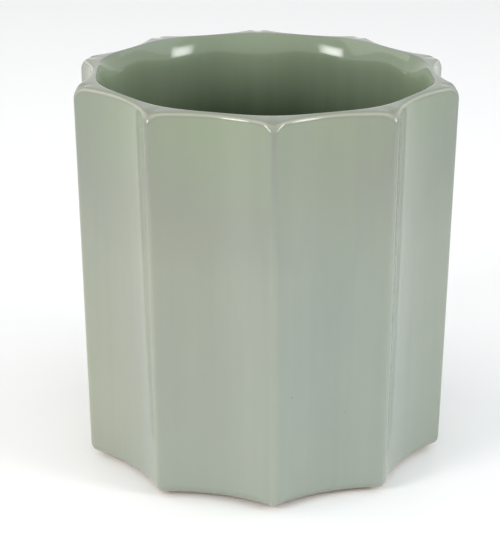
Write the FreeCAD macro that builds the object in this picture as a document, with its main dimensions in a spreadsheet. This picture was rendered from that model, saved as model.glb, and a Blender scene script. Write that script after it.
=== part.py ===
import FreeCAD
import Part
import math
import os

import Sketcher

# A desk pot for writing brushes: one ten-fluted ceramic vessel on four stick-on rubber pads.
# Millimetres, Z up. The origin is the middle of the plane that the pads stand on, and one arris
# of the vessel faces -Y. The rim is a little wider than the foot, and the flutes are deeper at
# the rim. The cavity is round, so the wall is thin behind each flute and thick behind each arris.

SIZES = {
    "pot_height": 100.0,  # foot to rim
    "flute_count": 10,
    "rim_arris_radius": 50.4,  # to the sharp arris, before it is rounded
    "foot_arris_radius": 48.9,
    "rim_flute_depth": 3.9,  # below the straight line between two arrises
    "foot_flute_depth": 2.6,
    "arris_round": 1.1,
    "edge_round": 1.0,  # outer edges of the rim and of the foot
    "blank_margin": 2.0,  # what the flutes trim off the blank outside the arrises
    "cavity_radius": 40.9,
    "floor_thickness": 5.0,
    "floor_corner": 6.0,
    "mouth_radius": 42.9,  # where the rolled lip is highest
    "lip_crest_round": 1.2,
    "lip_inner_round": 7.2,
    "recess_radius": 36.0,  # hollow under the base, inside the foot ring
    "recess_depth": 1.5,
    "recess_round": 0.8,
    "pad_radius": 6.0,
    "pad_spacing": 38.0,  # centre to centre, along X and along Y
    "pad_drop": 0.8,  # how far the pads stand out below the foot ring
    "pad_round": 0.4,
}

# Each pad's side of the vessel along X and along Y.
PADS = {
    "base_pad_front_left": (-1, -1),
    "base_pad_front_right": (1, -1),
    "base_pad_back_left": (-1, 1),
    "base_pad_back_right": (1, 1),
}

UP = FreeCAD.Vector(0, 0, 1)
VERTEX_START, VERTEX_END, CENTRE = 1, 2, 3
SKETCH_ORIGIN = (-1, 1)

doc = FreeCAD.newDocument("brush_pot")


def make_sheet():
    sheet = doc.addObject("Spreadsheet::Sheet", "dims")
    for row, (alias, value) in enumerate(SIZES.items(), start=1):
        sheet.set(f"A{row}", alias)
        sheet.set(f"B{row}", str(value))
        sheet.setAlias(f"B{row}", alias)
    doc.recompute()
    return sheet


dims = make_sheet()


# Helpers


def point(x, y):
    return FreeCAD.Vector(x, y, 0)


def origin_feature(body, role):
    return next(f for f in body.Origin.OriginFeatures if f.Role == role)


def new_sketch(body, name, plane, height="0"):
    """A sketch on one of the body's origin planes, raised along its normal by an expression."""
    sketch = body.newObject("Sketcher::SketchObject", name)
    sketch.AttachmentSupport = [(origin_feature(body, plane), "")]
    sketch.MapMode = "FlatFace"
    sketch.setExpression("AttachmentOffset.Base.z", height)
    return sketch


def bind(sketch, name, constraint, expression):
    """Adds a named dimension to the sketch and ties it to the sheet."""
    index = sketch.addConstraint(constraint)
    sketch.renameConstraint(index, name)
    sketch.setExpression(f"Constraints.{name}", expression)


def centred_circle(sketch, radius, expression):
    circle = sketch.addGeometry(Part.Circle(point(0, 0), UP, radius))
    sketch.addConstraint(Sketcher.Constraint("Coincident", circle, CENTRE, *SKETCH_ORIGIN))
    bind(sketch, "radius", Sketcher.Constraint("Radius", circle, radius), expression)


def add_feature(body, kind, name, **links):
    feature = body.newObject(f"PartDesign::{kind}", name)
    for key, value in links.items():
        setattr(feature, key, value)
    return feature


def edge_names(shape, test):
    return [f"Edge{i}" for i, edge in enumerate(shape.Edges, start=1) if test(edge)]


def round_edges(body, name, base, test, radius_alias, expected_count):
    names = edge_names(base.Shape, test)
    if len(names) != expected_count:
        raise RuntimeError(f"{name} found {len(names)} edges and not {expected_count}")
    fillet = add_feature(body, "Fillet", name, Base=(base, names))
    fillet.setExpression("Radius", f"dims.{radius_alias}")
    doc.recompute()
    return fillet


def check_removed(before, after, expected, name):
    """A cut that points away from the solid removes nothing and raises nothing, so it is weighed."""
    removed = before.Shape.Volume - after.Shape.Volume
    if abs(removed - expected) > 0.03 * expected:
        raise RuntimeError(f"{name} removed {removed:.0f} mm3 and not {expected:.0f}")


# The vessel


def add_blank(body):
    """The round blank that the flutes are cut into."""
    sketch = new_sketch(body, "blank_outline", "XY_Plane", "dims.pad_drop")
    radius = dims.rim_arris_radius + dims.blank_margin
    centred_circle(sketch, radius, "dims.rim_arris_radius + dims.blank_margin")
    blank = add_feature(body, "Pad", "blank", Profile=sketch)
    blank.setExpression("Length", "dims.pot_height")
    doc.recompute()
    return blank


def draw_flute(sketch, end):
    """The circle that hollows one flute, at the rim or at the foot. It passes through two arrises
    and dips below the straight line between them by the flute's depth."""
    half_angle = math.pi / dims.flute_count
    arris = getattr(dims, f"{end}_arris_radius")
    depth = getattr(dims, f"{end}_flute_depth")
    radius = ((arris * math.sin(half_angle)) ** 2 + depth**2) / (2 * depth)
    reach = arris * math.cos(half_angle) - depth + radius
    bearing = half_angle - math.pi / 2
    centre = point(reach * math.cos(bearing), reach * math.sin(bearing))

    spoke = sketch.addGeometry(Part.LineSegment(point(0, 0), centre), True)
    circle = sketch.addGeometry(Part.Circle(centre, UP, radius))
    sketch.addConstraint(Sketcher.Constraint("Coincident", spoke, VERTEX_START, *SKETCH_ORIGIN))
    sketch.addConstraint(Sketcher.Constraint("Coincident", spoke, VERTEX_END, circle, CENTRE))

    arris, depth = f"dims.{end}_arris_radius", f"dims.{end}_flute_depth"
    half_angle = "180 deg / dims.flute_count"
    radius_rule = f"(({arris} * sin({half_angle}))^2 + {depth}^2) / (2 * {depth})"
    reach_rule = f"{arris} * cos({half_angle}) - {depth} + {radius_rule}"
    bind(sketch, "radius", Sketcher.Constraint("Radius", circle, radius), radius_rule)
    bind(sketch, "reach", Sketcher.Constraint("Distance", spoke, reach), reach_rule)
    bind(sketch, "bearing", Sketcher.Constraint("Angle", spoke, bearing), f"{half_angle} - 90 deg")


def cut_flutes(body):
    """Ten tapered hollows from foot to rim, which leave ten arrises between them."""
    foot = new_sketch(body, "flute_at_foot", "XY_Plane", "dims.pad_drop")
    draw_flute(foot, "foot")
    rim = new_sketch(body, "flute_at_rim", "XY_Plane", "dims.pad_drop + dims.pot_height")
    draw_flute(rim, "rim")
    flute = add_feature(body, "SubtractiveLoft", "flute", Profile=foot, Sections=[rim], Ruled=True)
    doc.recompute()
    flutes = add_feature(body, "PolarPattern", "flutes", Originals=[flute], Angle=360)
    flutes.Axis = (origin_feature(body, "Z_Axis"), [""])
    flutes.setExpression("Occurrences", "dims.flute_count")
    body.Tip = flutes
    doc.recompute()
    return flutes


def round_arrises(body, flutes):
    def is_arris(edge):
        return edge.BoundBox.ZLength > 0.9 * dims.pot_height

    return round_edges(body, "arris_rounds", flutes, is_arris, "arris_round", dims.flute_count)


def draw_cavity(sketch):
    """Half section of the cavity: the floor, its corner, the wall, and the lip as a wide arc that
    leaves the wall and a tight one that goes over the crest."""
    floor = dims.pad_drop + dims.recess_depth + dims.floor_thickness
    rim = dims.pad_drop + dims.pot_height
    wall, corner, mouth = dims.cavity_radius, dims.floor_corner, dims.mouth_radius
    wide, tight = dims.lip_inner_round, dims.lip_crest_round
    turn = math.acos((wall + wide - mouth) / (wide - tight))
    wall_top = rim - tight - (wide - tight) * math.sin(turn)
    lid = rim + tight

    def arc(x, y, radius, start, end):
        return Part.ArcOfCircle(Part.Circle(point(x, y), UP, radius), start, end)

    def line(x_start, y_start, x_end, y_end):
        return Part.LineSegment(point(x_start, y_start), point(x_end, y_end))

    shapes = [
        line(0, floor, wall - corner, floor),
        arc(wall - corner, floor + corner, corner, -math.pi / 2, 0),
        line(wall, floor + corner, wall, wall_top),
        arc(wall + wide, wall_top, wide, math.pi - turn, math.pi),
        arc(mouth, rim - tight, tight, math.pi / 2, math.pi - turn),
        line(mouth, rim, mouth, lid),
        line(mouth, lid, 0, lid),
        line(0, lid, 0, floor),
    ]
    floor_line, corner_arc, wall_line, wide_arc, tight_arc, rise, lid_line, axis = (
        sketch.addGeometry(shape) for shape in shapes
    )

    def relate(kind, *parts):
        sketch.addConstraint(Sketcher.Constraint(kind, *parts))

    # Arcs run anticlockwise, so the two lip arcs start at their upper ends.
    relate("Tangent", floor_line, VERTEX_END, corner_arc, VERTEX_START)
    relate("Tangent", corner_arc, VERTEX_END, wall_line, VERTEX_START)
    relate("Tangent", wall_line, VERTEX_END, wide_arc, VERTEX_END)
    relate("Tangent", wide_arc, VERTEX_START, tight_arc, VERTEX_END)
    relate("Coincident", tight_arc, VERTEX_START, rise, VERTEX_START)
    relate("Coincident", rise, VERTEX_END, lid_line, VERTEX_START)
    relate("Coincident", lid_line, VERTEX_END, axis, VERTEX_START)
    relate("Coincident", axis, VERTEX_END, floor_line, VERTEX_START)
    relate("Horizontal", floor_line)
    relate("Vertical", wall_line)
    relate("Vertical", rise)
    relate("Horizontal", lid_line)
    relate("Vertical", tight_arc, CENTRE, tight_arc, VERTEX_START)
    relate("PointOnObject", axis, VERTEX_START, -2)
    relate("PointOnObject", axis, VERTEX_END, -2)

    def size(name, expression, kind, *parts):
        bind(sketch, name, Sketcher.Constraint(kind, *parts), expression)

    rim_rule = "dims.pad_drop + dims.pot_height"
    floor_rule = "dims.pad_drop + dims.recess_depth + dims.floor_thickness"
    size("corner", "dims.floor_corner", "Radius", corner_arc, corner)
    size("wide", "dims.lip_inner_round", "Radius", wide_arc, wide)
    size("tight", "dims.lip_crest_round", "Radius", tight_arc, tight)
    size("wall", "dims.cavity_radius", "DistanceX", *SKETCH_ORIGIN, wall_line, VERTEX_END, wall)
    size("mouth", "dims.mouth_radius", "DistanceX", *SKETCH_ORIGIN, rise, VERTEX_START, mouth)
    size("floor", floor_rule, "DistanceY", *SKETCH_ORIGIN, floor_line, VERTEX_START, floor)
    size("rim", rim_rule, "DistanceY", *SKETCH_ORIGIN, rise, VERTEX_START, rim)
    size("rise", "dims.lip_crest_round", "DistanceY", rise, VERTEX_START, rise, VERTEX_END, tight)


def cut_cavity(body, base):
    sketch = new_sketch(body, "cavity_section", "XZ_Plane")
    draw_cavity(sketch)
    cavity = add_feature(body, "Groove", "cavity", Profile=sketch, Angle=360)
    cavity.ReferenceAxis = (sketch, ["V_Axis"])
    doc.recompute()
    depth = dims.pot_height - dims.recess_depth - dims.floor_thickness
    check_removed(base, cavity, math.pi * dims.cavity_radius**2 * depth, "cavity")
    return cavity


def cut_recess(body, base):
    """The shallow hollow that leaves a foot ring to stand on and room for the pads."""
    sketch = new_sketch(body, "recess_outline", "XY_Plane", "dims.pad_drop")
    centred_circle(sketch, dims.recess_radius, "dims.recess_radius")
    recess = add_feature(body, "Pocket", "recess", Profile=sketch, Reversed=True)
    recess.setExpression("Length", "dims.recess_depth")
    doc.recompute()
    expected = math.pi * dims.recess_radius**2 * dims.recess_depth
    check_removed(base, recess, expected, "recess")
    return recess


def round_outer_edges(body, base):
    """Softens the outer edges of the rim and the foot and the inner edge of the foot ring."""
    foot = dims.pad_drop
    rim = dims.pad_drop + dims.pot_height

    def lies_flat_at(edge, height):
        box = edge.BoundBox
        return abs(box.ZMin - height) < 1e-3 and abs(box.ZMax - height) < 1e-3

    def reach(edge):
        middle = edge.valueAt((edge.FirstParameter + edge.LastParameter) / 2)
        return math.hypot(middle.x, middle.y)

    def is_rim(edge):
        return lies_flat_at(edge, rim) and reach(edge) > dims.mouth_radius + dims.edge_round

    def is_foot(edge):
        return lies_flat_at(edge, foot) and reach(edge) > dims.recess_radius + dims.edge_round

    def is_recess_mouth(edge):
        return lies_flat_at(edge, foot) and abs(reach(edge) - dims.recess_radius) < 1e-3

    # One edge for each flute and one for each rounded arris.
    outline_edges = 2 * dims.flute_count
    rim_rounds = round_edges(body, "rim_rounds", base, is_rim, "edge_round", outline_edges)
    foot_rounds = round_edges(body, "foot_rounds", rim_rounds, is_foot, "edge_round", outline_edges)
    return round_edges(body, "recess_rounds", foot_rounds, is_recess_mouth, "recess_round", 1)


def make_pot_body():
    body = doc.addObject("PartDesign::Body", "pot_body")
    body.Label = "pot_body"
    add_blank(body)
    fluted = round_arrises(body, cut_flutes(body))
    hollow = cut_recess(body, cut_cavity(body, fluted))
    body.Tip = round_outer_edges(body, hollow)
    doc.recompute()
    return body


# The pads


def make_pad(name, side_x, side_y):
    """One rubber disc, stuck to the recess's ceiling, with its lower edge rounded."""
    body = doc.addObject("PartDesign::Body", name)
    body.Label = name
    sketch = new_sketch(body, f"{name}_outline", "XY_Plane")
    centred_circle(sketch, dims.pad_radius, "dims.pad_radius")
    disc = add_feature(body, "Pad", f"{name}_disc", Profile=sketch)
    disc.setExpression("Length", "dims.pad_drop + dims.recess_depth")
    doc.recompute()

    def is_lower_edge(edge):
        return abs(edge.BoundBox.ZMax) < 1e-3

    body.Tip = round_edges(body, f"{name}_round", disc, is_lower_edge, "pad_round", 1)
    body.setExpression("Placement.Base.x", f"{side_x} * dims.pad_spacing / 2")
    body.setExpression("Placement.Base.y", f"{side_y} * dims.pad_spacing / 2")
    doc.recompute()
    return body


# The whole object


def check_document(bodies):
    for item in doc.Objects:
        if "Invalid" in item.State or "Error" in item.State:
            raise RuntimeError(f"{item.Label} failed: {item.State}")
    for body in bodies:
        shape = body.Shape
        if shape.isNull() or not shape.isValid() or len(shape.Solids) != 1:
            raise RuntimeError(f"{body.Label} is not one valid solid")


def write_steps(bodies):
    os.makedirs("parts", exist_ok=True)
    for body in bodies:
        body.Shape.exportStep(f"parts/{body.Label}.step")
        box = body.Shape.optimalBoundingBox(True, False)
        print(f"{body.Label}: {body.Shape.Volume:.0f} mm3, {box}")


bodies = [make_pot_body()]
bodies += [make_pad(name, *sides) for name, sides in PADS.items()]
check_document(bodies)
write_steps(bodies)
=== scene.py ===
import math

import bmesh
import bpy
import numpy as np
from mathutils import Matrix, Vector


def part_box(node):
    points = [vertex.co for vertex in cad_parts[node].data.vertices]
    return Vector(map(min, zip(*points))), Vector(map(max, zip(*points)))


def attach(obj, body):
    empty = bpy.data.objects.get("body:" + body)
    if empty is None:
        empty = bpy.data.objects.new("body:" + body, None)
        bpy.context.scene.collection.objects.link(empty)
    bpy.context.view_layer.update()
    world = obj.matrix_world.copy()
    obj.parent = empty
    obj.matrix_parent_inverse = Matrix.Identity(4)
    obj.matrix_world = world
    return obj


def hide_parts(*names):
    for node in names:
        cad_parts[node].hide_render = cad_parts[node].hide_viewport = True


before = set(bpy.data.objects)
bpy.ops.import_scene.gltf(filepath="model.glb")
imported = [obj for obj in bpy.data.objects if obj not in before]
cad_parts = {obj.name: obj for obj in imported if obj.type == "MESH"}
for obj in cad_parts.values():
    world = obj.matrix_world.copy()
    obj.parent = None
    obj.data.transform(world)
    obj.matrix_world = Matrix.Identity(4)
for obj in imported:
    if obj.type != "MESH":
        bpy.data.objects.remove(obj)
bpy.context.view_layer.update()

# A fluted celadon desk pot. Lengths are metres in the CAD's frame: Z up, one arris facing -Y.

MM = 0.001

# The vessel. Its foot and height come from the CAD's box, and the rest keeps close to the CAD. Radii
# of the arrises and depths of the flutes change evenly from the foot to the rim, TWIST is how far
# the flutes turn on their way up, and RECESS_COVE is the fall of the recess's ceiling at its edge.
pot_low, pot_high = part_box("pot_body")
FOOT_Z = pot_low.z
HEIGHT = pot_high.z - pot_low.z
FLUTES = 10
HALF_FLUTE = math.pi / FLUTES
ARRIS_RADIUS = {"foot": 48.98 * MM, "rim": 50.53 * MM}
FLUTE_DEPTH = {"foot": 2.6 * MM, "rim": 3.9 * MM}
ARRIS_ROUND = 1.3 * MM
SHARPEST_ARRIS = 0.35 * MM
TWIST = math.radians(0.86)
FOOT_ROUND = 3.1 * MM
CAVITY_RADIUS = 40.85 * MM
FLOOR_Z = 6.5 * MM
FLOOR_CORNER = 6.0 * MM
RECESS_RADIUS = 36.0 * MM
RECESS_DEPTH = 1.5 * MM
RECESS_ROUND = 0.8 * MM
RECESS_COVE = 0.64 * MM

# The lip is rounder outside, wider and slopes deeper into the cavity at an arris than at a flute's
# middle. LIP_FALL is how far its flat falls to its outer edge, and RIM_TILT how far the whole rim
# is off level. ROLL_BEND below 1 rounds the slope's top, and ROLL_EASE softens where it meets the
# wall.
RIM_ROUND_IN = {"flute": 1.0 * MM, "arris": 2.6 * MM}
RIM_ROUND_DOWN = {"flute": 1.3 * MM, "arris": 3.6 * MM}
CREST_RADIUS = {"flute": 42.7 * MM, "arris": 43.6 * MM}
LIP_DROP = {"flute": 4.0 * MM, "arris": 4.9 * MM}
ROLL_BEND = 0.8
ROLL_EASE = 0.9 * MM
LIP_FALL = {"flute": 0.1 * MM, "arris": 0.25 * MM}
ARRIS_SPREAD = math.radians(1.7)
RIM_TILT = 0.24 * MM

# Thickness of the glaze, where 1 is the usual coat; it also paints shade and highlights. It is made a
# little heavier from the foot up to the rim, which is painted shade: the wall is paler at the foot
# and darker and greener towards the rim. It breaks thin over the arrises. On the lip's flat it is
# thin glaze and painted sheen, and at the lip's outer rounding and its inner edge it is thin glaze
# and a painted highlight. Down the cavity it thickens to near black as painted shade, and evens out
# to a floor that is still painted darker. EDGE_TURN is where it is thinnest, and the painted
# highlight brightest, on the rounding outside the lip, as an angle from the wall.
RECESS_COAT = 1.0
FOOT_EDGE_COAT = 0.5
FOOT_RING_COAT = 0.4
FOOT_COAT = 0.88
RIM_SHADING_COAT = 1.17
PALE_EDGE_AND_HIGHLIGHT = {"flute": 0.1, "arris": 0.7}
EDGE_TURN = math.radians(38)
EDGE_SPREAD = math.radians(20)
LIP_COAT_AND_SHEEN = 0.85
INNER_PALE_EDGE_AND_HIGHLIGHT = 0.7
INSIDE_GLAZE = 1.25
DEEP_SHADE_COAT = 2.2
DEEP_SHADE_BELOW_LIP = 23.0 * MM
FLOOR_SHADE_COAT = 1.6
EVENED_FROM = 30.0 * MM
EVENED_TO = 58.0 * MM
HOLLOW_GATHER = 0.05
ARRIS_THINNING = 0.13
THINNED_SPREAD = math.radians(1.0)
# The glaze stops at this share of the foot's rounding, and the clay below it is bare.
BARE_SHARE = 0.35

# How finely the mesh is cut: columns in half a flute, how crowded they are at an arris, and rings.
HALF_FLUTE_COLUMNS = 28
CROWDING = 3.4
RECESS_STEPS = 4
FOOT_STEPS = 10
WALL_STEPS = 32
RIM_STEPS = 14
ROLL_STEPS = 20
CAVITY_STEPS = 26
CAVITY_CROWDING = 1.8
CORNER_STEPS = 8


# The vessel's mesh: rings of points from the middle of the underside, out over the foot, up the
# fluted wall, over the lip, down the cavity and in to the middle of its floor.


def column_angles():
    """Angles round the axis from the arris on -Y, crowded together at every arris."""
    near = np.arange(HALF_FLUTE_COLUMNS + 1) / HALF_FLUTE_COLUMNS
    half = HALF_FLUTE * np.sinh(CROWDING * near) / math.sinh(CROWDING)
    one_flute = np.concatenate([half, 2 * HALF_FLUTE - half[-2:0:-1]])
    return np.concatenate([one_flute + 2 * HALF_FLUTE * k for k in range(FLUTES)])


def mix(low, high, share):
    """The value at a share of the way from low to high."""
    return low + (high - low) * share


ANGLES = column_angles()
FROM_ARRIS = np.abs((ANGLES + HALF_FLUTE) % (2 * HALF_FLUTE) - HALF_FLUTE)
NEAR_ARRIS = np.exp(-((FROM_ARRIS / ARRIS_SPREAD) ** 2))
ARRIS_WAVE = 0.5 + 0.5 * np.cos(FLUTES * ANGLES)
# The glaze runs thin over an arris and gathers a little in the hollow of a flute.
THINNED = HOLLOW_GATHER * ARRIS_WAVE
THINNED += ARRIS_THINNING * np.exp(-((FROM_ARRIS / THINNED_SPREAD) ** 2))
RIM_Z = HEIGHT - RIM_TILT * np.sin(ANGLES)


def round_the_rim(ends, weight):
    """A lip size at every column, from its two values at a flute's middle and at an arris."""
    return mix(ends["flute"], ends["arris"], weight)


def outline(share, inset=0.0):
    """Radius of the fluted outline at each column, at a share of the height, moved in by inset.
    Each flute is an arc of a circle that stands outside the vessel, and a small arc that touches
    both neighbours rounds the arris between them."""
    arris = mix(ARRIS_RADIUS["foot"], ARRIS_RADIUS["rim"], share)
    depth = mix(FLUTE_DEPTH["foot"], FLUTE_DEPTH["rim"], share)
    half_chord = arris * math.sin(HALF_FLUTE)
    flute = (half_chord**2 + depth**2) / (2 * depth)
    reach = arris * math.cos(HALF_FLUTE) - depth + flute
    centre_x, centre_y = reach * math.cos(HALF_FLUTE), reach * math.sin(HALF_FLUTE)
    wall = flute + inset
    nose = np.maximum(ARRIS_ROUND - inset, SHARPEST_ARRIS)
    nose_x = centre_x - np.sqrt((wall + nose) ** 2 - centre_y**2)
    touch = wall / (wall + nose)
    touch_angle = np.arctan2(
        centre_y * (1 - touch),
        centre_x + (nose_x - centre_x) * touch,
    )
    cosine, sine = np.cos(FROM_ARRIS), np.sin(FROM_ARRIS)
    along = centre_x * cosine + centre_y * sine
    flute_hit = along - np.sqrt(along**2 - reach**2 + wall**2)
    nose_hit = nose_x * cosine + np.sqrt(np.maximum(nose**2 - (nose_x * sine) ** 2, 0))
    return np.where(FROM_ARRIS < touch_angle, nose_hit, flute_hit)


def ring(radius, height, glaze, bare=0.0):
    """One ring of the mesh: radius and height above the foot at each column, with the glaze's
    thickness (1 is the usual coat), which also paints shade and highlights, and how bare the clay is."""
    values = {"radius": radius, "height": height, "glaze": glaze, "bare": bare}
    return {name: value * np.ones_like(ANGLES) for name, value in values.items()}


def quarter_turn(steps):
    """Angles from 0 to 90 degrees, without the first."""
    return [math.pi / 2 * (i + 1) / steps for i in range(steps)]


def underside_rings():
    """The glazed recess, the rounding at its rim, and the bare foot ring that the vessel stands on."""
    ceiling_edge = RECESS_RADIUS - RECESS_ROUND
    rings = []
    for share in (0.1, 0.3, 0.5, 0.7, 0.85, 1):
        rings.append(ring(ceiling_edge * share, RECESS_DEPTH, RECESS_COAT))
    for turn in quarter_turn(RECESS_STEPS):
        radius = ceiling_edge + RECESS_ROUND * math.sin(turn)
        rings.append(ring(radius, RECESS_DEPTH - RECESS_COVE * (1 - math.cos(turn)), RECESS_COAT))
    for turn in quarter_turn(RECESS_STEPS):
        radius = RECESS_RADIUS + RECESS_ROUND * (1 - math.cos(turn))
        height = RECESS_ROUND * (1 - math.sin(turn))
        rings.append(ring(radius, height, FOOT_EDGE_COAT, turn / (math.pi / 2)))
    inner = RECESS_RADIUS + RECESS_ROUND
    outer = outline(0, FOOT_ROUND)
    for share in (0.25, 0.5, 0.75, 1):
        rings.append(ring(mix(inner, outer, share), 0, FOOT_RING_COAT, 1.0))
    return rings


def wall_rings():
    """The foot's rounding, the fluted wall, and the rounding outside the lip."""
    rings = []
    for turn in quarter_turn(FOOT_STEPS):
        height = FOOT_ROUND * (1 - math.cos(turn))
        inset = FOOT_ROUND * (1 - math.sin(turn))
        bare = max(0.0, 1 - height / (BARE_SHARE * FOOT_ROUND))
        rings.append(ring(outline(height / HEIGHT, inset), height, FOOT_COAT - THINNED, bare))
    round_in = round_the_rim(RIM_ROUND_IN, NEAR_ARRIS)
    round_down = round_the_rim(RIM_ROUND_DOWN, NEAR_ARRIS)
    top = RIM_Z - round_the_rim(LIP_FALL, NEAR_ARRIS) - round_down
    for i in range(1, WALL_STEPS + 1):
        height = mix(FOOT_ROUND, top, i / WALL_STEPS)
        # Painted shade: the coat thickens up the wall, so the wall is paler at the foot and darker
        # towards the rim.
        glaze = mix(FOOT_COAT, RIM_SHADING_COAT, (i / WALL_STEPS) ** 2) - THINNED
        rings.append(ring(outline(height / HEIGHT), height, glaze))
    for turn in quarter_turn(RIM_STEPS):
        height = top + round_down * math.sin(turn)
        inset = round_in * (1 - math.cos(turn))
        # A pale line on the rounding outside the lip: thin glaze and a painted highlight.
        thin_and_highlight = math.exp(-(((turn - EDGE_TURN) / EDGE_SPREAD) ** 2))
        glaze = mix(RIM_SHADING_COAT - THINNED, round_the_rim(PALE_EDGE_AND_HIGHLIGHT, NEAR_ARRIS), thin_and_highlight)
        rings.append(ring(outline(height / HEIGHT, inset), height, glaze))
    return rings


def inner_radius(depth):
    """Radius inside, at a depth below the rim: a slope from the crest that eases into the wall."""
    crest = round_the_rim(CREST_RADIUS, ARRIS_WAVE)
    drop = round_the_rim(LIP_DROP, ARRIS_WAVE)
    fall = (crest - CAVITY_RADIUS) * np.minimum(depth / drop, 1) ** ROLL_BEND
    slope = ROLL_BEND * (crest - CAVITY_RADIUS) / drop
    ease = slope * ROLL_EASE * np.log1p(np.exp(-np.abs(depth - drop) / ROLL_EASE))
    return crest - fall + ease


def lip_rings():
    """The flat of the lip, from its outer edge to its crest, and the slope into the cavity."""
    fall = round_the_rim(LIP_FALL, NEAR_ARRIS)
    edge = outline(1, round_the_rim(RIM_ROUND_IN, NEAR_ARRIS))
    crest = round_the_rim(CREST_RADIUS, ARRIS_WAVE)
    drop = round_the_rim(LIP_DROP, ARRIS_WAVE)
    rings = []
    # The lip's flat is thin glaze and painted sheen; its inner edge at the crest is thin glaze and a
    # painted highlight.
    for share in (0.06, 0.3, 0.6, 0.9, 1):
        glaze = INNER_PALE_EDGE_AND_HIGHLIGHT if share == 1 else LIP_COAT_AND_SHEEN
        rings.append(ring(mix(edge, crest, share), RIM_Z - fall * (1 - share) ** 2, glaze))
    for i in range(1, ROLL_STEPS + 1):
        depth = drop * (i / ROLL_STEPS) ** 2
        glaze = mix(INNER_PALE_EDGE_AND_HIGHLIGHT, INSIDE_GLAZE, min(1.0, 3 * i / ROLL_STEPS))
        rings.append(ring(inner_radius(depth), RIM_Z - depth, glaze))
    return rings


def cavity_rings():
    """The cavity's wall, the rounded corner at its foot, and its floor."""
    rings = []
    top = RIM_Z - round_the_rim(LIP_DROP, ARRIS_WAVE)
    corner_top = FLOOR_Z + FLOOR_CORNER
    for i in range(1, CAVITY_STEPS + 1):
        height = mix(top, corner_top, (i / CAVITY_STEPS) ** CAVITY_CROWDING)
        depth = top - height
        # Painted shade: the glaze darkens to near black down the cavity, then evens out to a floor
        # that is still painted darker.
        glaze = mix(INSIDE_GLAZE, DEEP_SHADE_COAT, np.minimum(depth / DEEP_SHADE_BELOW_LIP, 1))
        evened = np.clip((depth - EVENED_FROM) / (EVENED_TO - EVENED_FROM), 0, 1)
        glaze = mix(glaze, FLOOR_SHADE_COAT, evened)
        rings.append(ring(inner_radius(RIM_Z - height), height, glaze))
    for turn in quarter_turn(CORNER_STEPS):
        radius = CAVITY_RADIUS - FLOOR_CORNER * (1 - math.cos(turn))
        rings.append(ring(radius, corner_top - FLOOR_CORNER * math.sin(turn), FLOOR_SHADE_COAT))
    floor_edge = CAVITY_RADIUS - FLOOR_CORNER
    for share in (0.85, 0.7, 0.5, 0.3, 0.1):
        rings.append(ring(floor_edge * share, FLOOR_Z, FLOOR_SHADE_COAT))
    return rings


def ring_points(values):
    """The ring's points. Columns run from -Y towards +X, and the flutes turn a little going up."""
    radius, height = values["radius"], values["height"]
    bearing = ANGLES + TWIST * (0.5 - height / HEIGHT)
    return np.stack([radius * np.sin(bearing), -radius * np.cos(bearing), height + FOOT_Z], axis=1)


def join_rings(rows):
    """Faces between neighbouring rings, and fans that close the underside and the cavity's floor.
    The two centres are the last two points."""
    columns = len(ANGLES)
    under_centre, floor_centre = rows * columns, rows * columns + 1
    after = [(j + 1) % columns for j in range(columns)]
    faces = []
    for i in range(rows - 1):
        low, high = i * columns, (i + 1) * columns
        faces += [(low + j, low + after[j], high + after[j], high + j) for j in range(columns)]
    last = (rows - 1) * columns
    faces += [(under_centre, after[j], j) for j in range(columns)]
    faces += [(floor_centre, last + j, last + after[j]) for j in range(columns)]
    return faces


def store_on_points(mesh, name, rings):
    """Keep a ring value on the mesh's points, where the material reads it by name."""
    centres = [rings[0][name][0], rings[-1][name][0]]
    values = np.concatenate([r[name] for r in rings] + [centres])
    layer = mesh.attributes.new(name, "FLOAT", "POINT")
    layer.data.foreach_set("value", values.astype(np.float32))


def build_vessel():
    """The closed mesh that stands for the CAD's pot_body."""
    rings = underside_rings() + wall_rings() + lip_rings() + cavity_rings()
    centres = [[0, 0, RECESS_DEPTH + FOOT_Z], [0, 0, FLOOR_Z + FOOT_Z]]
    points = np.concatenate([ring_points(r) for r in rings] + [centres])
    mesh = bpy.data.meshes.new("vessel")
    mesh.from_pydata(points.tolist(), [], join_rings(len(rings)))
    mesh.polygons.foreach_set("use_smooth", [True] * len(mesh.polygons))
    store_on_points(mesh, "glaze", rings)
    store_on_points(mesh, "bare", rings)
    mesh.update()
    vessel = bpy.data.objects.new("vessel", mesh)
    bpy.context.scene.collection.objects.link(vessel)
    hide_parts("pot_body")
    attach(vessel, "root")
    return vessel


# Materials

NOISE_ROUGHNESS = 0.55


def new_material(name):
    """A node material, its node tree and its shader."""
    material = bpy.data.materials.new(name)
    material.use_nodes = True
    tree = material.node_tree
    shader = tree.nodes["Principled BSDF"]
    return material, tree, shader


def add_node(tree, kind, settings=None, **inputs):
    """A node with its settings and its inputs, which are values or other nodes' sockets."""
    node = tree.nodes.new(kind)
    for key, value in (settings or {}).items():
        setattr(node, key, value)
    for key, value in inputs.items():
        socket = node.inputs[key.replace("_", " ")]
        if isinstance(value, bpy.types.NodeSocket):
            tree.links.new(value, socket)
        else:
            socket.default_value = value
    return node


def blend_colours(tree, factor, first, second, how="MIX"):
    """The colour from mixing two, each of which is a colour or a socket."""
    node = add_node(tree, "ShaderNodeMix", {"data_type": "RGBA", "blend_type": how})
    sockets = {"Factor": factor, "A": first, "B": second}
    for socket in node.inputs:
        value = sockets.get(socket.name)
        if not socket.enabled or value is None:
            continue
        if isinstance(value, bpy.types.NodeSocket):
            tree.links.new(value, socket)
        else:
            socket.default_value = value
    return next(socket for socket in node.outputs if socket.enabled)


def calculate(tree, operation, *values):
    """The result of a Math node, whose inputs are numbers or sockets."""
    node = tree.nodes.new("ShaderNodeMath")
    node.operation = operation
    for socket, value in zip(node.inputs, values):
        if isinstance(value, bpy.types.NodeSocket):
            tree.links.new(value, socket)
        else:
            socket.default_value = value
    return node.outputs["Value"]


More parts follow.
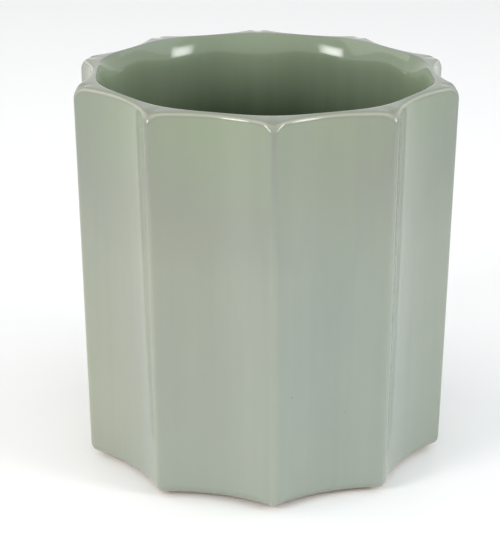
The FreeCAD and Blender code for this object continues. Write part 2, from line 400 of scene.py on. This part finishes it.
def stretched_noise(tree, place, scale, detail=2.0):
    """Noise from about 0.25 to 0.75, whose scale along each axis is in features per metre."""
    stretch = add_node(tree, "ShaderNodeVectorMath", {"operation": "MULTIPLY"})
    tree.links.new(place, stretch.inputs[0])
    stretch.inputs[1].default_value = scale
    noise = add_node(
        tree,
        "ShaderNodeTexNoise",
        Vector=stretch.outputs["Vector"],
        Scale=1.0,
        Detail=detail,
        Roughness=NOISE_ROUGHNESS,
    )
    return noise.outputs["Fac"]


def swing(tree, noise, reach):
    """Noise turned into a value from about -reach / 2 to reach / 2."""
    return calculate(tree, "MULTIPLY", calculate(tree, "SUBTRACT", noise, 0.5), 2 * reach)


def sparse_dots(tree, place, pitch, radius, kept):
    """1 inside a few round dots: one in each cell of the pitch, and only in the kept share. Their
    radii are from 0.3 to 1 times the radius."""
    cells = add_node(tree, "ShaderNodeTexVoronoi", Vector=place, Scale=1 / pitch, Randomness=1.0)
    draw = add_node(tree, "ShaderNodeSeparateColor", Color=cells.outputs["Color"])
    largest = radius / pitch
    size = calculate(tree, "MULTIPLY_ADD", draw.outputs["Green"], 0.7 * largest, 0.3 * largest)
    from_centre = calculate(tree, "DIVIDE", cells.outputs["Distance"], size)
    inside = calculate(tree, "SUBTRACT", 1.0, from_centre)
    soft = calculate(tree, "MULTIPLY", inside, 2.0)
    soft.node.use_clamp = True
    chosen = calculate(tree, "LESS_THAN", draw.outputs["Red"], kept)
    return calculate(tree, "MULTIPLY", soft, chosen)


def colour_ramp(tree, factor, stops):
    """The colour at a factor along a ramp of (position, colour) stops."""
    node = add_node(tree, "ShaderNodeValToRGB", Fac=factor)
    ramp = node.color_ramp
    while len(ramp.elements) < len(stops):
        ramp.elements.new(1.0)
    for element, (position, colour) in zip(ramp.elements, stops):
        element.position = position
        element.color = (*colour, 1)
    return node.outputs["Color"]


def attribute(tree, name):
    """A value that the mesh keeps on its points."""
    node = add_node(tree, "ShaderNodeAttribute", {"attribute_name": name})
    return node.outputs["Fac"]


# Colours of the glaze over the clay, by its thickness, which also paints shade and highlights, and of
# the clay. From SHADE_FROM, a share of the height, up to the rim, painted shade darkens the glaze to
# RIM_SHADE times its colour.
GLAZE_THIN = (0.44, 0.46, 0.35)
GLAZE_USUAL = (0.257, 0.287, 0.239)
GLAZE_INSIDE = (0.276, 0.338, 0.225)
PAINTED_DEEP_SHADE = (0.032, 0.050, 0.024)
GLAZE_WARM = (1.03, 1.0, 0.96)
GLAZE_COOL = (0.97, 1.0, 1.03)
RIM_SHADE = 0.82
SHADE_FROM = 0.6
GLAZE_IOR = 1.58
GLAZE_ROUGHNESS = 0.07
CLAY_PALE = (0.56, 0.48, 0.37)
CLAY_DARK = (0.44, 0.35, 0.25)
CLAY_ROUGHNESS = 0.85
SPECK = (0.10, 0.085, 0.06)

# Specks and the pinholes in them: one to a cell, in a share of the cells.
SPECK_PITCH = 4.5 * MM
SPECK_RADIUS = 0.26 * MM
SPECK_SHARE = 0.07
SPECK_STRENGTH = 0.6

# Features per metre of each noise, across and up, and how far it moves the glaze's thickness,
# the bare clay's edge or the roughness.
CLOUDS = (26, 26, 20)
RUNS = (330, 330, 9)
PATCHES = (13, 13, 9)
GRAIN = (1500, 1500, 1500)
WAVES = (80, 80, 50)
PEEL = (700, 700, 700)
CLOUDS_THICKEN = 0.16
RUNS_THICKEN = 0.07
CLOUDS_MOVE_EDGE = 0.25
CLOUDS_ROUGHEN = 0.03

# Heights of the relief.
WAVE_HEIGHT = 0.01 * MM
PEEL_HEIGHT = 0.0015 * MM
DIMPLE_DEPTH = 0.05 * MM
GRAIN_HEIGHT = 0.2 * MM


def tinted_glaze(tree, place, clouds):
    """The glaze's colour, from its thickness on the mesh with a slow drift and fine runs."""
    runs = stretched_noise(tree, place, RUNS)
    drift = swing(tree, clouds, CLOUDS_THICKEN)
    uneven = calculate(tree, "ADD", drift, swing(tree, runs, RUNS_THICKEN))
    thickness = calculate(tree, "ADD", attribute(tree, "glaze"), uneven)
    # The ramp's thin end is also the pale of painted highlights on the lip, and its thick end the near
    # black of painted shade in the cavity.
    stops = [
        (0.0, GLAZE_THIN),
        (1.0 / DEEP_SHADE_COAT, GLAZE_USUAL),
        (INSIDE_GLAZE / DEEP_SHADE_COAT, GLAZE_INSIDE),
        (1.0, PAINTED_DEEP_SHADE),
    ]
    colour = colour_ramp(tree, calculate(tree, "DIVIDE", thickness, DEEP_SHADE_COAT), stops)

    # The kiln leaves slow patches that are a little warmer or cooler.
    patches = stretched_noise(tree, place, PATCHES, 1.0)
    tint = colour_ramp(tree, patches, [(0.35, GLAZE_WARM), (0.65, GLAZE_COOL)])
    return blend_colours(tree, 1.0, colour, tint, "MULTIPLY")


def painted_shade_at_rim(tree, place, colour):
    """The colour with painted shade that darkens it from SHADE_FROM up to the rim."""
    split = add_node(tree, "ShaderNodeSeparateXYZ", Vector=place)
    darker = add_node(
        tree,
        "ShaderNodeMapRange",
        Value=split.outputs["Z"],
        From_Min=FOOT_Z + SHADE_FROM * HEIGHT,
        From_Max=FOOT_Z + HEIGHT,
        To_Min=1.0,
        To_Max=RIM_SHADE,
    )
    scaled = add_node(tree, "ShaderNodeVectorMath", {"operation": "SCALE"}, Vector=colour)
    tree.links.new(darker.outputs["Result"], scaled.inputs["Scale"])
    return scaled.outputs["Vector"]


def add_relief(tree, shader, *heights):
    """Bump the shader by the sum of the heights, in metres."""
    total = heights[0]
    for height in heights[1:]:
        total = calculate(tree, "ADD", total, height)
    bump = add_node(tree, "ShaderNodeBump", Strength=1.0, Distance=1.0, Height=total)
    tree.links.new(bump.outputs["Normal"], shader.inputs["Normal"])


def glaze_material():
    """Celadon glaze that breaks paler at the edges, and bare clay where the foot stands."""
    material, tree, shader = new_material("celadon_glaze")
    place = add_node(tree, "ShaderNodeTexCoord").outputs["Object"]
    clouds = stretched_noise(tree, place, CLOUDS, 3.0)
    colour = painted_shade_at_rim(tree, place, tinted_glaze(tree, place, clouds))
    dots = sparse_dots(tree, place, SPECK_PITCH, SPECK_RADIUS, SPECK_SHARE)
    specked = calculate(tree, "MULTIPLY", dots, SPECK_STRENGTH)
    colour = blend_colours(tree, specked, colour, (*SPECK, 1))

    # Bare clay, with a wandering edge to the glaze.
    grain = stretched_noise(tree, place, GRAIN, 4.0)
    clay = colour_ramp(tree, grain, [(0.35, CLAY_DARK), (0.6, CLAY_PALE)])
    edge = calculate(tree, "ADD", attribute(tree, "bare"), swing(tree, clouds, CLOUDS_MOVE_EDGE))
    bareness = add_node(tree, "ShaderNodeMapRange", Value=edge, From_Min=0.4, From_Max=0.5)
    bare = bareness.outputs["Result"]
    tree.links.new(blend_colours(tree, bare, colour, clay), shader.inputs["Base Color"])

    # Smooth glass with a faint unevenness, and matt clay.
    gloss = calculate(tree, "ADD", GLAZE_ROUGHNESS, swing(tree, clouds, CLOUDS_ROUGHEN))
    roughness = add_node(
        tree,
        "ShaderNodeMapRange",
        Value=bare,
        To_Min=gloss,
        To_Max=CLAY_ROUGHNESS,
    )
    tree.links.new(roughness.outputs["Result"], shader.inputs["Roughness"])
    shader.inputs["IOR"].default_value = GLAZE_IOR

    # Slow waves, fine orange peel, a dimple at each dot, and the clay's grain.
    waves = calculate(tree, "MULTIPLY", stretched_noise(tree, place, WAVES), WAVE_HEIGHT)
    peel = calculate(tree, "MULTIPLY", stretched_noise(tree, place, PEEL), PEEL_HEIGHT)
    dimples = calculate(tree, "MULTIPLY", dots, -DIMPLE_DEPTH)
    rough_clay = calculate(tree, "MULTIPLY", calculate(tree, "MULTIPLY", grain, bare), GRAIN_HEIGHT)
    add_relief(tree, shader, waves, peel, dimples, rough_clay)
    return material


# The pads' rubber, and the dust on it.
RUBBER_DARK = (0.42, 0.42, 0.405)
RUBBER_PALE = (0.52, 0.52, 0.50)
RUBBER_ROUGHNESS = 0.72
DUST = (0.5, 0.49, 0.46)
DUST_PITCH = 0.9 * MM
DUST_RADIUS = 0.12 * MM
DUST_SHARE = 0.25
DUST_STRENGTH = 0.4
RUBBER_CLOUDS = (300, 300, 300)
RUBBER_GRAIN = (4000, 4000, 4000)
RUBBER_GRAIN_HEIGHT = 0.03 * MM


def rubber_material():
    """Soft grey rubber: cloudy, matt, with a fine moulded grain and a little dust."""
    material, tree, shader = new_material("pad_rubber")
    place = add_node(tree, "ShaderNodeTexCoord").outputs["Object"]
    clouds = stretched_noise(tree, place, RUBBER_CLOUDS, 3.0)
    grain = stretched_noise(tree, place, RUBBER_GRAIN, 3.0)
    body = colour_ramp(tree, clouds, [(0.3, RUBBER_DARK), (0.7, RUBBER_PALE)])
    dots = sparse_dots(tree, place, DUST_PITCH, DUST_RADIUS, DUST_SHARE)
    dusty = calculate(tree, "MULTIPLY", dots, DUST_STRENGTH)
    colour = blend_colours(tree, dusty, body, (*DUST, 1))
    tree.links.new(colour, shader.inputs["Base Color"])
    roughness = calculate(tree, "ADD", RUBBER_ROUGHNESS, swing(tree, clouds, 0.1))
    tree.links.new(roughness, shader.inputs["Roughness"])
    add_relief(tree, shader, calculate(tree, "MULTIPLY", grain, RUBBER_GRAIN_HEIGHT))
    return material


# Stage, light and camera

MIDDLE = Vector((0, 0, FOOT_Z + HEIGHT / 2))
CAMERA_BEARING = math.radians(-2.91)
CAMERA_ELEVATION = math.radians(20.27)
CAMERA_DISTANCE = 432.5 * MM
CAMERA_ROLL = math.radians(0.14)
CAMERA_LENS = 109.9
AIM_LEFT = 3.58 * MM
AIM_DOWN = 3.38 * MM

FLOOR_REACH = 3.0
FLOOR_COLOUR = (0.95, 0.95, 0.95)
FLOOR_ROUGHNESS = 0.45

# Light. A radiance of 1 is that of a white wall in full light. LOW_GLOWS are the bearings and the
# strengths of the light low down on the left and behind, and GLOW_FALLOFF is how low it keeps.
EVEN_GLOW = 0.69
GLOW_FALLOFF = 5.0
LOW_GLOWS = [
    (CAMERA_BEARING - math.radians(90), 0.43),
    (CAMERA_BEARING + math.radians(180), 0.4),
]

# How sharply the softboxes fade at their edges, and how bright they are in the middle.
SOFTBOX_FADE = 3.0
SOFTBOX_MIDDLE = 1.6

# Name, bearing and elevation in degrees, distance, width and height, radiance and colour. Only the
# two softboxes fade at their edges.
STUDIO_LIGHTS = [
    ("softbox_left", -52, 24, 0.9, (0.36, 0.42), 7.5, (1.0, 0.995, 0.99)),
    ("softbox_right", 60.5, 24, 0.9, (0.39, 0.42), 6.2, (0.985, 0.99, 1.0)),
    ("side_panel_left", -100, 42, 1.1, (0.9, 0.8), 1.0, (1.0, 0.955, 0.91)),
    ("side_panel_right", 94, 42, 1.1, (0.9, 0.8), 0.73, (0.66, 0.87, 1.0)),
    ("overhead_strip", -3, 78, 0.9, (0.80, 0.10), 2.5, (1.0, 1.0, 1.0)),
]


def direction(bearing, elevation):
    """A unit vector from the vessel, at a bearing from -Y towards +X and an elevation."""
    flat = math.cos(elevation)
    return Vector((flat * math.sin(bearing), -flat * math.cos(bearing), math.sin(elevation)))


def add_camera():
    """A camera that looks down at the front arris, from a little to its left."""
    outward = direction(CAMERA_BEARING, CAMERA_ELEVATION)
    right = Vector((0, 0, 1)).cross(outward).normalized()
    up = outward.cross(right)
    place = MIDDLE + outward * CAMERA_DISTANCE
    aim = MIDDLE - right * AIM_LEFT - up * AIM_DOWN
    camera = bpy.data.objects.new("camera", bpy.data.cameras.new("camera"))
    bpy.context.scene.collection.objects.link(camera)
    camera.data.lens = CAMERA_LENS
    camera.data.clip_start = 0.01
    turn = (aim - place).to_track_quat("-Z", "Y").to_matrix()
    turn = turn @ Matrix.Rotation(CAMERA_ROLL, 3, "Z")
    camera.matrix_world = Matrix.Translation(place) @ turn.to_4x4()
    bpy.context.scene.camera = camera


def fade_edges(light):
    """Make an area light a softbox: brightest in the middle, and fading to dark at its edges."""
    light.use_nodes = True
    tree = light.node_tree
    across_light = add_node(tree, "ShaderNodeNewGeometry").outputs["Parametric"]
    across = add_node(tree, "ShaderNodeSeparateXYZ", Vector=across_light)
    total = SOFTBOX_MIDDLE
    for axis in "XY":
        off_centre = calculate(tree, "MULTIPLY_ADD", across.outputs[axis], 2.0, -1.0)
        fade = calculate(tree, "POWER", calculate(tree, "ABSOLUTE", off_centre), SOFTBOX_FADE)
        total = calculate(tree, "MULTIPLY", total, calculate(tree, "SUBTRACT", 1.0, fade))
    tree.links.new(total, tree.nodes["Emission"].inputs["Strength"])


def add_light(name, bearing, elevation, distance, size, radiance, colour):
    """A rectangular light that faces the vessel, from a bearing and an elevation in degrees."""
    width, tall = size
    light = bpy.data.lights.new(name, "AREA")
    light.shape = "RECTANGLE"
    light.size, light.size_y = width, tall
    light.energy = radiance * math.pi * width * tall
    light.color = colour
    if name.startswith("softbox"):
        fade_edges(light)
    lamp = bpy.data.objects.new(name, light)
    bpy.context.scene.collection.objects.link(lamp)
    outward = direction(math.radians(bearing), math.radians(elevation))
    turn = (-outward).to_track_quat("-Z", "Y").to_matrix()
    lamp.matrix_world = Matrix.Translation(MIDDLE + outward * distance) @ turn.to_4x4()


def add_surroundings():
    """An even glow, and more light low down on the left and behind, as from white walls."""
    world = bpy.data.worlds.new("studio")
    world.use_nodes = True
    bpy.context.scene.world = world
    tree = world.node_tree
    background = tree.nodes["Background"]
    towards = add_node(tree, "ShaderNodeTexCoord").outputs["Generated"]
    split = add_node(tree, "ShaderNodeSeparateXYZ", Vector=towards)
    height = calculate(tree, "MAXIMUM", split.outputs["Z"], 0.0)
    low = calculate(tree, "POWER", calculate(tree, "SUBTRACT", 1.0, height), GLOW_FALLOFF)
    total = 0.0
    for bearing, strength in LOW_GLOWS:
        along = add_node(tree, "ShaderNodeVectorMath", {"operation": "DOT_PRODUCT"})
        tree.links.new(towards, along.inputs[0])
        along.inputs[1].default_value = direction(bearing, 0)
        half = calculate(tree, "MULTIPLY_ADD", along.outputs["Value"], 0.5, 0.5)
        lobe = calculate(tree, "MULTIPLY", half, half)
        total = calculate(tree, "MULTIPLY_ADD", lobe, strength, total)
    strength = calculate(tree, "MULTIPLY_ADD", low, total, EVEN_GLOW)
    tree.links.new(strength, background.inputs["Strength"])
    background.inputs["Color"].default_value = (1, 1, 1, 1)


def add_floor():
    """A plain pale round floor under the vessel."""
    mesh = bpy.data.meshes.new("floor")
    builder = bmesh.new()
    bmesh.ops.create_circle(builder, cap_ends=True, radius=FLOOR_REACH, segments=64)
    builder.to_mesh(mesh)
    builder.free()
    floor = bpy.data.objects.new("floor", mesh)
    bpy.context.scene.collection.objects.link(floor)
    material, tree, shader = new_material("pale_floor")
    shader.inputs["Base Color"].default_value = (*FLOOR_COLOUR, 1)
    shader.inputs["Roughness"].default_value = FLOOR_ROUGHNESS
    mesh.materials.append(material)


def give_pads_rubber():
    """The CAD's pads stay as they are and get the rubber material."""
    rubber = rubber_material()
    for name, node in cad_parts.items():
        if name.startswith("base_pad"):
            node.data.materials.clear()
            node.data.materials.append(rubber)


vessel = build_vessel()
vessel.data.materials.append(glaze_material())
give_pads_rubber()
add_camera()
for studio_light in STUDIO_LIGHTS:
    add_light(*studio_light)
add_surroundings()
add_floor()
bpy.context.scene.view_settings.view_transform = "Standard"
